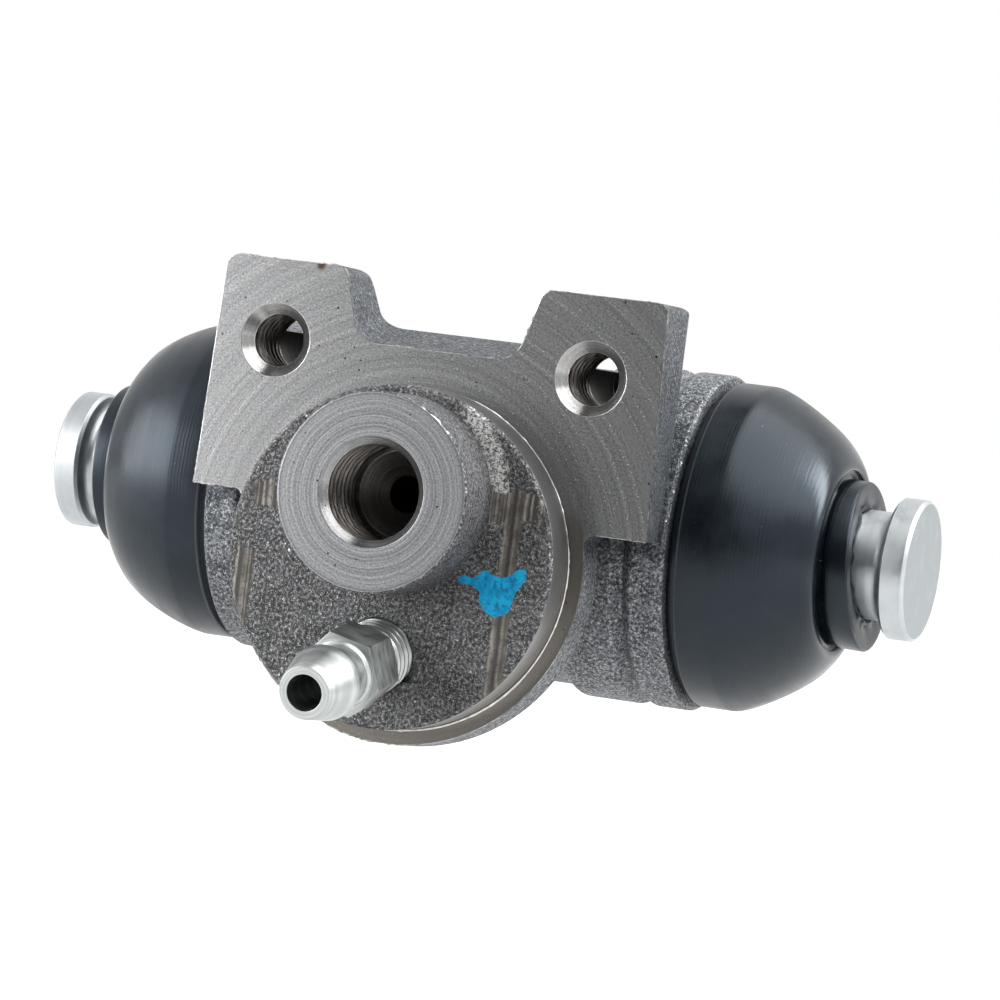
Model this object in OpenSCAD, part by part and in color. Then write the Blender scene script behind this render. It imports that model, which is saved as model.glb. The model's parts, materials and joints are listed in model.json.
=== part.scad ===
// Drum brake wheel cylinder with two opposed pistons.
// The origin is the spigot centre on the mounting face: X along the bore, +Y into the body, +Z to the lugs.

/* [Spigot and collar] */
// Diameter of the locating spigot
spigot_d = 32; // [30:0.1:33]
// Height of the spigot above the mounting face
spigot_h = 4.6; // [2:0.1:6]
// Diameter of the machined collar around the spigot
collar_d = 35; // [34:0.1:38]
// Depth of the collar rim
collar_t = 4.4; // [3.5:0.1:5]
// How far the collar rim flares towards the barrel
collar_flare = 0.2; // [0.1:0.1:1]

/* [Mounting flange] */
// Width of the flange across the wings
flange_w = 45.4; // [43:0.1:46]
// How much narrower the flange is at the top of the lugs
flange_taper = 1.3; // [0:0.1:2]
// Sideways shift of the rough flange from the machined centre
flange_shift = 0.4; // [0:0.1:0.8]
// Height of the lug tops above the spigot centre
flange_top = 26.4; // [25.5:0.1:29]
// Height of the wing undersides above the spigot centre
wing_bottom = 4.4; // [3:0.1:7]
// Thickness of the lugs
lug_t = 8; // [6:0.1:9]
// Draft of the lug sides from front to back
lug_draft = 0.8; // [0.2:0.1:1.2]
// Radius of the cast edges at the back of the lugs
lug_edge_r = 1.8; // [0.5:0.1:2.5]
// Radius of the outer lug corners in the front view
lug_corner_r = 1.2; // [0.5:0.1:1.8]
// Radius where the wing undersides meet the collar
wing_fillet = 1; // [0.5:0.1:1.5]
// Width of the gap between the lugs at its floor
notch_w = 15.8; // [12:0.1:18]
// Height of the gap floor above the spigot centre
notch_floor = 19.5; // [18.5:0.1:21]
// Slant of the inner lug sides in degrees
notch_slant = 16; // [5:1:20]
// Radius in the corners of the gap
notch_fillet = 2.6; // [1:0.1:3.5]
// Radius of the lug corners at the mouth of the gap
notch_corner_r = 1.4; // [0.5:0.1:2]
// How far the gap floor rises towards the back
notch_rise = 1.8; // [0.5:0.1:2.5]
// Spacing of the two mounting holes
hole_pitch = 31.6; // [29:0.1:33]
// Height of the mounting holes above the spigot centre
hole_z = 18.7; // [17.5:0.1:20]
// Core diameter of the mounting threads
hole_d = 5; // [4:0.1:5.5]
// Diameter of the countersinks on the mounting holes
hole_mouth_d = 7; // [6:0.1:8]
// Depth of the mounting holes, which run on past the lugs into the ribs behind them
hole_depth = 14.5; // [10:0.1:15.5]
// Width of the ribs that join the lugs to the barrel
rib_w = 8; // [7:0.1:9]
// Height of the ribs above the axes of the mounting holes, which stay open at the top behind the lugs
rib_rise = 1.1; // [0.5:0.1:1.5]

/* [Pipe port] */
// Diameter of the pipe boss
boss_d = 18.6; // [16:0.1:19]
// Height of the boss face above the mounting face
boss_h = 11.2; // [9:0.1:14]
// Height of the port above the spigot centre
port_z = 5.9; // [4:0.1:6.2]
// Core diameter of the port thread
port_d = 8.92; // [8.5:0.01:9.2]
// Depth of the port thread
port_depth = 7.7; // [7:0.1:9]
// Diameter of the chamfer at the port mouth
port_mouth_d = 10.3; // [10:0.1:12]
// Large diameter of the pipe seat
seat_d = 8.1; // [7:0.1:8.4]
// Diameter of the drilling from the port to the bore
passage_d = 3.5; // [2.5:0.1:4]

/* [Barrel] */
// Diameter of the bore
bore_d = 20.64; // [19.05:0.01:22.2]
// Distance of the bore axis behind the mounting face
bore_y = 21.5; // [20.5:0.1:23]
// Height of the bore axis above the spigot centre
bore_z = 4.7; // [3.5:0.1:6]
// Length of the bore
bore_l = 55; // [52:0.1:58]
// Outside diameter of the barrel ends
barrel_d = 32.4; // [31.5:0.1:34]
// Outside diameter of the barrel waist
waist_d = 30.6; // [29:0.1:31]
// Width of the barrel waist
waist_w = 25.6; // [18:0.1:28]
// Distance between the shoulders behind the two boots
shoulder_l = 46.6; // [46:0.1:48]
// Diameter of the necks that carry the boots
neck_d = 26.8; // [25.8:0.1:28]
// Depth of the boot grooves in the necks
groove_depth = 0.9; // [0.5:0.1:1.2]
// Width of the boot grooves
groove_w = 2; // [1.5:0.1:2.4]
// Distance of the cast rings from the shoulders
ring_back = 4.2; // [3.8:0.1:6]
// Width of the cast rings
ring_w = 1.8; // [1:0.1:2.4]
// Depth of the cast rings
ring_depth = 0.9; // [0.3:0.1:1.1]

/* [Pistons] */
// Radial clearance of the pistons in the bore
piston_fit = 0.03; // [0.02:0.01:0.08]
// Distance of the piston heads from the bore centre at rest
piston_reach = 43.9; // [42.5:0.1:46]
// Length of the piston skirts
skirt_l = 13.5; // [11:0.1:15]
// Diameter of the shanks between skirt and boot groove
shank_d = 15; // [13:0.1:17]
// Length of the shanks
shank_l = 7.4; // [5:0.1:9]
// Diameter of the piston stems
stem_d = 10.4; // [9:0.1:12]
// Diameter of the piston heads
head_d = 13.5; // [12.5:0.1:15]
// Thickness of the piston heads
head_t = 2.6; // [2:0.1:4]
// Radius between stem and head
head_fillet = 0.9; // [0.4:0.1:1.2]

/* [Cups and spring] */
// Radial clearance of the cup lips in the bore
cup_fit = 0.03; // [0.02:0.01:0.08]
// Length of the cup seals
cup_l = 4.8; // [4:0.1:5.5]
// Thickness of the cup bases
cup_base = 2.2; // [1.5:0.1:2.6]
// Sheet thickness of the cup expanders
expander_t = 0.8; // [0.5:0.1:1]
// Wire diameter of the return spring
wire_d = 1.1; // [0.8:0.1:1.4]
// Mean diameter of the return spring
spring_d = 10.6; // [8:0.1:11]
// Number of spring turns
spring_turns = 7; // [5:1:9]

/* [Boots] */
// Outside diameter of the boots
boot_d = 31.3; // [31:0.1:33]
// Wall thickness of the boots
boot_wall = 1.4; // [1:0.1:1.6]
// Outside diameter of the boot lips
lip_d = 16; // [15:0.1:17]
// Length of the boot lips
lip_l = 3.2; // [2.8:0.1:4]
// Length of bare stem between lip and head
bare_stem = 3.3; // [2:0.1:4]
// Length of the straight rim of the boots
boot_rim = 4.4; // [3.5:0.1:5]
// Clearance of the boots on barrel and stem
boot_fit = 0.1; // [0.05:0.01:0.2]

/* [Bleed screw] */
// Height of the bleed screw where it leaves the spigot face
bleed_z = -9.2; // [-10:0.1:-8.5]
// Downward tilt of the bleed screw in degrees
bleed_tilt = 11; // [5:1:14]
// Outside diameter of the bleed thread
bleed_d = 6.9; // [6:0.1:7.2]
// Radial clearance of the bleed thread in its hole
bleed_fit = 0.06; // [0.03:0.01:0.1]
// Length of thread below the spigot face
bleed_grip = 9; // [7:0.1:10]
// Length of thread outside the spigot face
bleed_gap = 3.5; // [2:0.1:5]
// Width of the hexagon across its flats
hex_af = 7; // [6.6:0.1:8]
// Length of the hexagon
hex_l = 5.4; // [4:0.1:7]
// Turn of the hexagon about the screw in degrees
hex_turn = 46; // [0:1:59]
// Diameter of the hose neck
hose_neck_d = 5.8; // [5.2:0.1:6]
// Diameter of the hose barb
barb_d = 7; // [6.4:0.1:7.6]
// Length of the hose neck behind the barb
hose_neck_l = 3.5; // [2.5:0.1:4.5]
// Length of the hose nipple
nipple_l = 8.2; // [7:0.1:10]
// Diameter of the nipple bore
nipple_bore = 3.4; // [2.6:0.1:3.6]

/* [Hidden] */
$fn = 96;

cast_iron = "dimgray";
plated_steel = "silver";
boot_rubber = "#25282d";
cup_rubber = "#303030";
spring_steel = "slategray";

// Small edge breaks, and the overlap that keeps joined shapes one solid
edge = 0.3;
joint = 0.5;

bore_r = bore_d / 2;
neck_r = neck_d / 2;
groove_r = neck_r - groove_depth;
shoulder_x = shoulder_l / 2;
bore_end_x = bore_l / 2;
groove_x = (shoulder_x + bore_end_x - groove_w) / 2 - joint / 2;

// Stations along a piston, from the bore centre outwards
head_x = piston_reach - head_t;
lip_x = head_x - bare_stem;
fold_x = lip_x - lip_l;
front_gap = 0.3;
shank_x = fold_x - boot_wall - front_gap;
skirt_x = shank_x - shank_l;
cup_x = skirt_x - skirt_l;
expander_x = cup_x - cup_base;
spring_x = expander_x - expander_t;

// Stations along the bleed screw, outwards from the spigot face
hex_x = bleed_gap;
nipple_x = hex_x + hex_l;
bleed_end = nipple_x + nipple_l;
bleed_r = bleed_d / 2;
bleed_hole_r = bleed_r + bleed_fit;
pilot_r = 2.6;
pilot_l = 1.6;
tip_r = 1.1;
bleed_seat_gap = 0.15;
bleed_passage_r = 1.4;
cross_hole_d = 1.8;
hex_chamfer = 0.32;
tip_wall = 0.85;

// Section of the cup lips, and the room between a lip and its expander
cup_lip_root = 2.4;
cup_lip_tip = 1.1;
expander_gap = 0.5;

// Points of an arc about a centre, from one angle to another
function arc(centre, r, from, to, steps = 8) = [
    for (i = [0 : steps]) centre + r * [cos(from + (to - from) * i / steps), sin(from + (to - from) * i / steps)]
];

// Points of a cubic curve between p0 and p3
function curve(p0, p1, p2, p3, steps = 12) = [
    for (i = [0 : steps])
        let (t = i / steps, u = 1 - t)
            u * u * u * p0 + 3 * u * u * t * p1 + 3 * u * t * t * p2 + t * t * t * p3
];

// Round one corner of a polygon, given its two neighbours
function unit(v) = v / norm(v);
function corner(prev, at, next, r, steps = 8) =
    let (
        a = unit(prev - at),
        b = unit(next - at),
        half = acos(a * b) / 2,
        centre = at + unit(a + b) * r / sin(half),
        start = at + a * r / tan(half) - centre,
        finish = at + b * r / tan(half) - centre,
        turn = start[0] * finish[1] - start[1] * finish[0] > 0 ? 1 : -1,
        first = atan2(start[1], start[0])
    )
    arc(centre, r, first, first + turn * (180 - 2 * half), steps);

// A polygon whose corners are given as [x, y, radius]
function rounded(points, steps = 8) = [
    for (i = [0 : len(points) - 1])
        let (
            count = len(points),
            p = points[(i + count - 1) % count],
            c = points[i],
            n = points[(i + 1) % count]
        )
        each c[2] == 0 ? [[c[0], c[1]]] : corner([p[0], p[1]], [c[0], c[1]], [n[0], n[1]], c[2], steps)
];

// Put the Z axis on the bore, pointing right or left
module on_bore(side = 1) {
    translate([0, bore_y, bore_z])
        rotate([0, 90 * side, 0])
            children();
}

// Put the Z axis on the outward axis of the bleed screw
module on_bleed() {
    translate([0, -spigot_h, bleed_z])
        rotate([90 + bleed_tilt, 0, 0])
            children();
}

// Extrude an outline drawn in X and Z from the mounting face into the body
module into_body(depth) {
    translate([0, depth, 0])
        rotate([90, 0, 0])
            linear_extrude(height = depth)
                children();
}

// A shape along Y that starts at a given depth and grows into the body
module along_y(x, y, z) {
    translate([x, y, z])
        rotate([-90, 0, 0])
            children();
}

module barrel() {
    waist_x = waist_w / 2;
    flank = 1.1;
    flank_r = 1;
    ring_x = shoulder_x - ring_back;
    ring_r = 0.6;
    barrel_r = barrel_d / 2;
    half = [
        [waist_d / 2, waist_x - flank, flank_r],
        [barrel_r, waist_x, flank_r],
        [barrel_r, ring_x - ring_w / 2, ring_r],
        [barrel_r - ring_depth, ring_x, ring_r / 2],
        [barrel_r, ring_x + ring_w / 2, ring_r],
        [barrel_r, shoulder_x - edge, 0],
        [barrel_r - edge, shoulder_x, 0],
        [neck_r, shoulder_x, 0],
        [neck_r, groove_x, 0],
        [groove_r, groove_x, 0],
        [groove_r, groove_x + groove_w, 0],
        [neck_r, groove_x + groove_w, 0],
        [neck_r, bore_end_x - edge, 0],
        [neck_r - edge, bore_end_x, 0]
    ];
    last = len(half) - 1;
    mirrored = [for (i = [last : -1 : 0]) [half[i][0], -half[i][1], half[i][2]]];
    outline = concat([[0, -bore_end_x, 0]], mirrored, half, [[0, bore_end_x, 0]]);
    on_bore()
        rotate_extrude()
            polygon(rounded(outline, 4));
}

// Flange plate: front outline, drafted side walls and rounded back edges
module flange() {
    half_low = flange_w / 2;
    half_top = half_low - flange_taper / 2;
    back_low = half_low - lug_draft;
    side_reach = flange_w;
    front = rounded([
        [-half_low, wing_bottom, 0],
        [half_low, wing_bottom, 0],
        [half_top, flange_top, lug_corner_r],
        [-half_top, flange_top, lug_corner_r]
    ]);
    plan = rounded([
        [-half_low, 0, 0],
        [half_low, 0, 0],
        [back_low, lug_t, lug_edge_r],
        [-back_low, lug_t, lug_edge_r]
    ]);
    section = rounded([
        [0, wing_bottom, 0],
        [0, flange_top, 0],
        [lug_t, flange_top, lug_edge_r],
        [lug_t, wing_bottom, 0]
    ]);
    intersection() {
        into_body(lug_t) polygon(front);
        translate([0, 0, wing_bottom])
            linear_extrude(height = flange_top - wing_bottom)
                polygon(plan);
        rotate([90, 0, 90])
            linear_extrude(height = side_reach, center = true)
                polygon(section);
    }
}

// Ribs behind the lugs that carry the mounting holes to their full depth
module lug_ribs() {
    half = rib_w / 2;
    top = hole_z + rib_rise;
    foot = bore_z + bore_r;
    outline = rounded([
        [-half, foot, 0],
        [half, foot, 0],
        [half, top, lug_corner_r],
        [-half, top, lug_corner_r]
    ]);
    for (side = [-1, 1])
        translate([side * hole_pitch / 2, lug_t - joint, 0])
            into_body(bore_y - lug_t + joint)
                polygon(outline);
}

// Gap between the lugs, wider and shallower towards the back, with rounded lug corners at its mouth
module lug_gap() {
    height = flange_top - notch_floor;
    over = 2;
    clear = 0.02;
    half_floor = notch_w / 2;
    half_top = half_floor + height * tan(notch_slant);
    half_mouth = half_top + 2 * notch_corner_r;
    widen = 1 + lug_draft / half_top;
    lift = 1 - notch_rise / height;
    cut = rounded([
        [-half_mouth, -over, 0],
        [-half_mouth, -clear, 0],
        [-half_top, -clear, notch_corner_r],
        [-half_floor, height, notch_fillet],
        [half_floor, height, notch_fillet],
        [half_top, -clear, notch_corner_r],
        [half_mouth, -clear, 0],
        [half_mouth, -over, 0]
    ]);
    along_y(0, 0, flange_top)
        linear_extrude(height = lug_t, scale = [widen, lift], slices = 1)
            polygon(cut);
}

// Fillets where the wing undersides run into the collar
module wing_fillets() {
    collar_r = collar_d / 2;
    overlap = 0.02;
    z = wing_bottom - wing_fillet;
    x = sqrt(pow(collar_r + wing_fillet - overlap, 2) - z * z);
    meet = 180 + atan2(z, x);
    outline = concat(
        [[0, wing_bottom + joint], [x, wing_bottom + joint]],
        arc([x, z], wing_fillet, 90, meet, 6),
        [[0, z]]
    );
    into_body(collar_t)
        for (side = [0, 1])
            mirror([side, 0])
                polygon(outline);
}

// Collar rim and the cone behind it that joins the barrel
module collar() {
    collar_r = collar_d / 2;
    rim = [
        [0, 0],
        [collar_r, 0],
        [collar_r + collar_flare, collar_t - lug_edge_r / 2],
        [collar_r + collar_flare - lug_edge_r / 2, collar_t],
        [0, collar_t]
    ];
    web_inset = 1.5;
    web_clear = 0.2;
    web_front = spigot_d / 2 - web_inset;
    web_back = waist_d / 2 - bore_z - web_clear;
    along_y(0, 0, 0)
        rotate_extrude()
            polygon(rim);
    along_y(0, 0, 0)
        cylinder(r1 = web_front, r2 = web_back, h = bore_y);
}

module spigot() {
    along_y(0, -spigot_h, 0)
        cylinder(d1 = spigot_d - 2 * edge, d2 = spigot_d, h = edge);
    along_y(0, edge - spigot_h, 0)
        cylinder(d = spigot_d, h = spigot_h - edge + joint);
}

module pipe_boss() {
    along_y(0, -boss_h, port_z)
        cylinder(d1 = boss_d - edge, d2 = boss_d, h = edge / 2);
    along_y(0, edge / 2 - boss_h, port_z)
        cylinder(d = boss_d, h = boss_h - edge / 2 + joint);
}

// Threaded port with its pipe seat, and the drilling into the bore
module port_cut() {
    mouth_depth = (port_mouth_d - port_d) / 2;
    seat_l = 1.9;
    along_y(0, -boss_h - joint, port_z)
        cylinder(d = port_d, h = port_depth + joint);
    along_y(0, -boss_h, port_z)
        cylinder(d1 = port_mouth_d, d2 = port_d, h = mouth_depth);
    along_y(0, port_depth - boss_h, port_z)
        cylinder(d1 = seat_d, d2 = passage_d, h = seat_l);
    along_y(0, port_depth - boss_h, port_z)
        cylinder(d = passage_d, h = bore_y + boss_h - port_depth);
}

// Threaded bleed hole with its seat, and the drilling into the bore
module bleed_cut() {
    seat_start = bleed_grip + pilot_l - (bleed_hole_r - pilot_r - bleed_seat_gap);
    seat_drop = bleed_hole_r - bleed_passage_r;
    reach = bore_y + spigot_h;
    mouth = 0.4;
    on_bleed() {
        translate([0, 0, -seat_start])
            cylinder(r = bleed_hole_r, h = seat_start + spigot_h);
        translate([0, 0, -mouth])
            cylinder(r1 = bleed_hole_r, r2 = bleed_hole_r + 2 * mouth, h = 2 * mouth);
        translate([0, 0, -seat_start - seat_drop])
            cylinder(r1 = bleed_passage_r, r2 = bleed_hole_r, h = seat_drop);
        translate([0, 0, -reach])
            cylinder(r = bleed_passage_r, h = reach - seat_start);
    }
}

module mounting_holes() {
    mouth_depth = (hole_mouth_d - hole_d) / 2;
    for (side = [-1, 1]) {
        along_y(side * hole_pitch / 2, -joint, hole_z)
            cylinder(d = hole_d, h = hole_depth + joint);
        along_y(side * hole_pitch / 2, 0, hole_z)
            cylinder(d1 = hole_mouth_d, d2 = hole_d, h = mouth_depth);
    }
}

module bore_cut() {
    on_bore() {
        cylinder(d = bore_d, h = bore_l + 2 * joint, center = true);
        for (turn = [0, 180])
            rotate([turn, 0, 0])
                translate([0, 0, bore_end_x - edge])
                    cylinder(r1 = bore_r, r2 = bore_r + 2 * edge, h = 2 * edge);
    }
}

module cylinder_body() {
    color(cast_iron)
        difference() {
            union() {
                barrel();
                translate([flange_shift, 0, 0])
                    difference() {
                        flange();
                        lug_gap();
                    }
                lug_ribs();
                collar();
                wing_fillets();
                spigot();
                pipe_boss();
            }
            bore_cut();
            port_cut();
            bleed_cut();
            mounting_holes();
        }
}

module piston(side) {
    skirt_r = bore_r - piston_fit;
    stem_r = stem_d / 2;
    head_r = head_d / 2;
    profile = concat(
        [
            [0, cup_x],
            [skirt_r - edge, cup_x],
            [skirt_r, cup_x + edge],
            [skirt_r, skirt_x - edge],
            [skirt_r - edge, skirt_x],
            [shank_d / 2, skirt_x],
            [shank_d / 2, shank_x - edge],
            [shank_d / 2 - edge, shank_x],
            [stem_r, shank_x]
        ],
        arc([stem_r + head_fillet, head_x - head_fillet], head_fillet, 180, 90, 6),
        [
            [head_r - edge, head_x],
            [head_r, head_x + edge],
            [head_r, piston_reach - edge],
            [head_r - edge, piston_reach],
            [0, piston_reach]
        ]
    );
    color(plated_steel)
        on_bore(side)
            rotate_extrude()
                polygon(profile);
}

// Cup seal with its lip turned towards the bore centre
module cup_seal(side) {
    cup_r = bore_r - cup_fit;
    tip_x = cup_x - cup_l;
    profile = [
        [0, expander_x],
        [cup_r - cup_lip_root, expander_x],
        [cup_r - cup_lip_tip, tip_x + edge],
        [cup_r - cup_lip_tip + edge, tip_x],
        [cup_r - edge, tip_x],
        [cup_r, tip_x + 2 * edge],
        [cup_r, cup_x - edge],
        [cup_r - edge, cup_x],
        [0, cup_x]
    ];
    color(cup_rubber)
        on_bore(side)
            rotate_extrude()
                polygon(profile);
}

// Dished plate that seats in the cup and carries the spring
module cup_expander(side) {
    flare = 0.9;
    below_tip = 0.6;
    flat_r = bore_r - cup_fit - cup_lip_root - expander_gap;
    rim_r = flat_r + flare;
    rim_x = cup_x - cup_l + below_tip;
    profile = [
        [0, spring_x],
        [flat_r - expander_t / 2, spring_x],
        [rim_r - expander_t, rim_x],
        [rim_r, rim_x],
        [flat_r, expander_x],
        [0, expander_x]
    ];
    color(plated_steel)
        on_bore(side)
            rotate_extrude()
                polygon(profile);
}

// Axial place along the spring, with one closed turn at each end
function coil_x(turn, span) =
    turn < 1 ? turn * wire_d
    : turn > spring_turns - 1 ? span - (spring_turns - turn) * wire_d
    : wire_d + (turn - 1) * (span - 2 * wire_d) / (spring_turns - 2);

module return_spring() {
    sides = 8;
    rings_per_turn = 16;
    rings = spring_turns * rings_per_turn;
    seat_gap = 0.05;
    length = 2 * (spring_x - wire_d / 2 - seat_gap);
    points = [
        for (i = [0 : rings], j = [0 : sides - 1])
            let (
                turn = i / rings_per_turn,
                r = spring_d / 2 + wire_d / 2 * cos(j * 360 / sides),
                z = coil_x(turn, length) - length / 2 + wire_d / 2 * sin(j * 360 / sides)
            )
            [r * cos(turn * 360), r * sin(turn * 360), z]
    ];
    walls = [
        for (i = [0 : rings - 1], j = [0 : sides - 1])
            let (k = (j + 1) % sides)
                [i * sides + j, (i + 1) * sides + j, (i + 1) * sides + k, i * sides + k]
    ];
    start = [for (j = [0 : sides - 1]) j];
    finish = [for (j = [sides - 1 : -1 : 0]) rings * sides + j];
    color(spring_steel)
        on_bore()
            polyhedron(points, concat(walls, [start, finish]));
}

// Rubber boot: rim and bead on the barrel neck, domed wall, folded front, lip on the stem
module boot(side) {
    boot_r = boot_d / 2;
    lip_r = lip_d / 2;
    hold_r = stem_d / 2 + boot_fit;
    rim_x = shoulder_x + boot_fit;
    rim_w = 0.7;
    rim_step = 0.5;
    rim_r = boot_r - rim_step;
    dome_x = shoulder_x + boot_rim;
    shoulder_pull = 1.6;
    crest_pull = 2.9;
    crest_r = lip_r + 1.3;
    crest_x = fold_x + 1.5;
    crest_edge = 0.2;
    fold_r = crest_r - 2 * crest_edge;
    on_neck = neck_r + boot_fit;
    on_groove = groove_r + boot_fit;
    bead_start = groove_x + boot_fit;
    bead_end = groove_x + groove_w - boot_fit;
    inner_x = fold_x - boot_wall;
    inner_r = boot_r - boot_wall;
    outside = curve(
        [boot_r, dome_x],
        [boot_r, dome_x + shoulder_pull],
        [crest_r + crest_pull, crest_x],
        [crest_r, crest_x]
    );
    inside = curve(
        [crest_r, inner_x],
        [crest_r + crest_pull - boot_wall, inner_x],
        [inner_r, dome_x + shoulder_pull - boot_wall],
        [inner_r, dome_x]
    );
    profile = concat(
        [
            [on_neck, rim_x],
            [rim_r, rim_x],
            [rim_r, rim_x + rim_w],
            [boot_r, rim_x + rim_w]
        ],
        outside,
        arc([fold_r + crest_edge, crest_x - crest_edge], crest_edge, 90, 180, 4),
        [
            [fold_r, fold_x + edge],
            [fold_r - edge, fold_x],
            [lip_r + edge, fold_x],
            [lip_r, fold_x + edge],
            [lip_r, lip_x - edge],
            [lip_r - edge, lip_x],
            [hold_r + edge, lip_x],
            [hold_r, lip_x - edge],
            [hold_r, inner_x]
        ],
        inside,
        [
            [inner_r, bead_end + edge],
            [on_neck, bead_end + edge],
            [on_neck, bead_end],
            [on_groove, bead_end],
            [on_groove, bead_start],
            [on_neck, bead_start]
        ]
    );
    color(boot_rubber)
        on_bore(side)
            rotate_extrude()
                polygon(profile);
}

// Hexagon with turned chamfers at both ends
module bleed_hexagon() {
    corner_r = hex_af / 2 / cos(30);
    intersection() {
        translate([0, 0, hex_x])
            rotate([0, 0, hex_turn])
                cylinder(r = corner_r, h = hex_l, $fn = 6);
        translate([0, 0, hex_x])
            rotate_extrude()
                polygon([
                    [0, 0],
                    [hex_af / 2, 0],
                    [corner_r + edge, hex_chamfer + edge],
                    [corner_r + edge, hex_l - hex_chamfer - edge],
                    [hex_af / 2, hex_l],
                    [0, hex_l]
                ]);
    }
}

module bleed_screw() {
    seat_x = -bleed_grip - pilot_l;
    barb_x = nipple_x + hose_neck_l;
    tip_d = nipple_bore + 2 * tip_wall;
    neck_hold = hose_neck_d / 2;
    cross_x = -bleed_grip - pilot_l / 2;
    turned = [
        [0, seat_x - (pilot_r - tip_r)],
        [tip_r, seat_x - (pilot_r - tip_r)],
        [pilot_r, seat_x],
        [pilot_r, -bleed_grip],
        [bleed_r - edge, -bleed_grip],
        [bleed_r, edge - bleed_grip],
        [bleed_r, hex_x - edge],
        [bleed_r - edge, hex_x],
        [bleed_r - edge, nipple_x],
        [neck_hold, nipple_x + edge],
        [neck_hold, barb_x - edge],
        [barb_d / 2, barb_x],
        [barb_d / 2, barb_x + edge],
        [tip_d / 2, bleed_end - edge],
        [tip_d / 2 - edge / 2, bleed_end],
        [0, bleed_end]
    ];
    color(plated_steel)
        on_bleed()
            difference() {
                union() {
                    rotate_extrude()
                        polygon(turned);
                    bleed_hexagon();
                }
                translate([0, 0, hex_x])
                    cylinder(d = nipple_bore, h = bleed_end);
                translate([0, 0, cross_x])
                    cylinder(d = cross_hole_d, h = bleed_end);
                translate([0, 0, cross_x])
                    rotate([0, 90, 0])
                        cylinder(d = cross_hole_d, h = bleed_d, center = true);
            }
}

module piston_left() { piston(-1); }
module piston_right() { piston(1); }
module cup_seal_left() { cup_seal(-1); }
module cup_seal_right() { cup_seal(1); }
module cup_expander_left() { cup_expander(-1); }
module cup_expander_right() { cup_expander(1); }
module boot_left() { boot(-1); }
module boot_right() { boot(1); }

cylinder_body();
piston_left();
piston_right();
cup_seal_left();
cup_seal_right();
cup_expander_left();
cup_expander_right();
return_spring();
boot_left();
boot_right();
bleed_screw();
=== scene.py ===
import json
import math
import bmesh
import bpy
from mathutils import Matrix, Vector, noise


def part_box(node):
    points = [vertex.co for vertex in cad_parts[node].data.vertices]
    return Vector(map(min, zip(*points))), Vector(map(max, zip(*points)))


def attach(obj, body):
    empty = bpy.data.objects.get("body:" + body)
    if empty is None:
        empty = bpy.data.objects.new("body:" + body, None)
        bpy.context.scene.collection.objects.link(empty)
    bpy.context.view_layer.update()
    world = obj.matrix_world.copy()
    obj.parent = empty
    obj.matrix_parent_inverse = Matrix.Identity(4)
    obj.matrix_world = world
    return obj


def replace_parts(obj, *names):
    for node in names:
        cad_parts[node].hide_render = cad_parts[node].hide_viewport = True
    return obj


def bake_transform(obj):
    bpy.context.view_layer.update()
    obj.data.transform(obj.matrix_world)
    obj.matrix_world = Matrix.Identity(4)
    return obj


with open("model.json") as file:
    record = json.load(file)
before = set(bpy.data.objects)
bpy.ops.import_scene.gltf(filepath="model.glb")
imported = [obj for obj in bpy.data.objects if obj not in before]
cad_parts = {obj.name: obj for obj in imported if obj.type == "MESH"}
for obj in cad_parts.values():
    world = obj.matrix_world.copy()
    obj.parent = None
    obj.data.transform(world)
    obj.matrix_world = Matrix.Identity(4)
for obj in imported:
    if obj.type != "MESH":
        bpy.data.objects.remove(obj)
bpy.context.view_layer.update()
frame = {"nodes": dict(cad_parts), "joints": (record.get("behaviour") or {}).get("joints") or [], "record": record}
mm = 0.001
mounts = {m["name"]: m for m in frame["record"]["mounts"]}
print("frame loaded:", len(frame["nodes"]), "nodes")


# small helpers for shader trees

def plug(tree, socket, value):
    # links another socket, or sets a constant on the socket itself
    if isinstance(value, bpy.types.NodeSocket):
        tree.links.new(value, socket)
    else:
        socket.default_value = value


def put(tree, kind, inputs=None, **settings):
    node = tree.nodes.new("ShaderNode" + kind)
    for name, value in settings.items():
        setattr(node, name, value)
    for key, value in (inputs or {}).items():
        plug(tree, node.inputs[key], value)
    return node


def calc(tree, operation, *values):
    return put(tree, "Math", dict(enumerate(values)), operation=operation).outputs[0]


def times(tree, a, b):
    return calc(tree, "MULTIPLY", a, b)


def plus(tree, a, b):
    return calc(tree, "ADD", a, b)


def minus(tree, a, b):
    return calc(tree, "SUBTRACT", a, b)


def remap(tree, value, low, high, outLow=0.0, outHigh=1.0, smooth=True):
    inputs = {"Value": value, "From Min": low, "From Max": high, "To Min": outLow, "To Max": outHigh}
    kind = "SMOOTHSTEP" if smooth else "LINEAR"
    return put(tree, "MapRange", inputs, interpolation_type=kind).outputs["Result"]


def span(tree, value, rise, full, fall, end):
    # 1 between full and fall, 0 outside rise and end
    return times(tree, remap(tree, value, rise, full), remap(tree, value, end, fall))


def measure(tree, operation, *vectors):
    return put(tree, "VectorMath", dict(enumerate(vectors)), operation=operation).outputs["Value"]


def fromAxis(tree, axes, centre):
    # x and z from a centre, and the distance, in mm
    x = minus(tree, axes["X"], centre[0])
    z = minus(tree, axes["Z"], centre[1])
    return x, z, calc(tree, "SQRT", plus(tree, times(tree, x, x), times(tree, z, z)))


def seenDirectly(tree):
    # 1 for rays that show a surface as it is, 0 for the light that it sends on
    path = put(tree, "LightPath").outputs
    sharp = calc(tree, "MAXIMUM", path["Is Camera Ray"], path["Is Glossy Ray"])
    return calc(tree, "MAXIMUM", sharp, path["Is Transmission Ray"])


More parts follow.
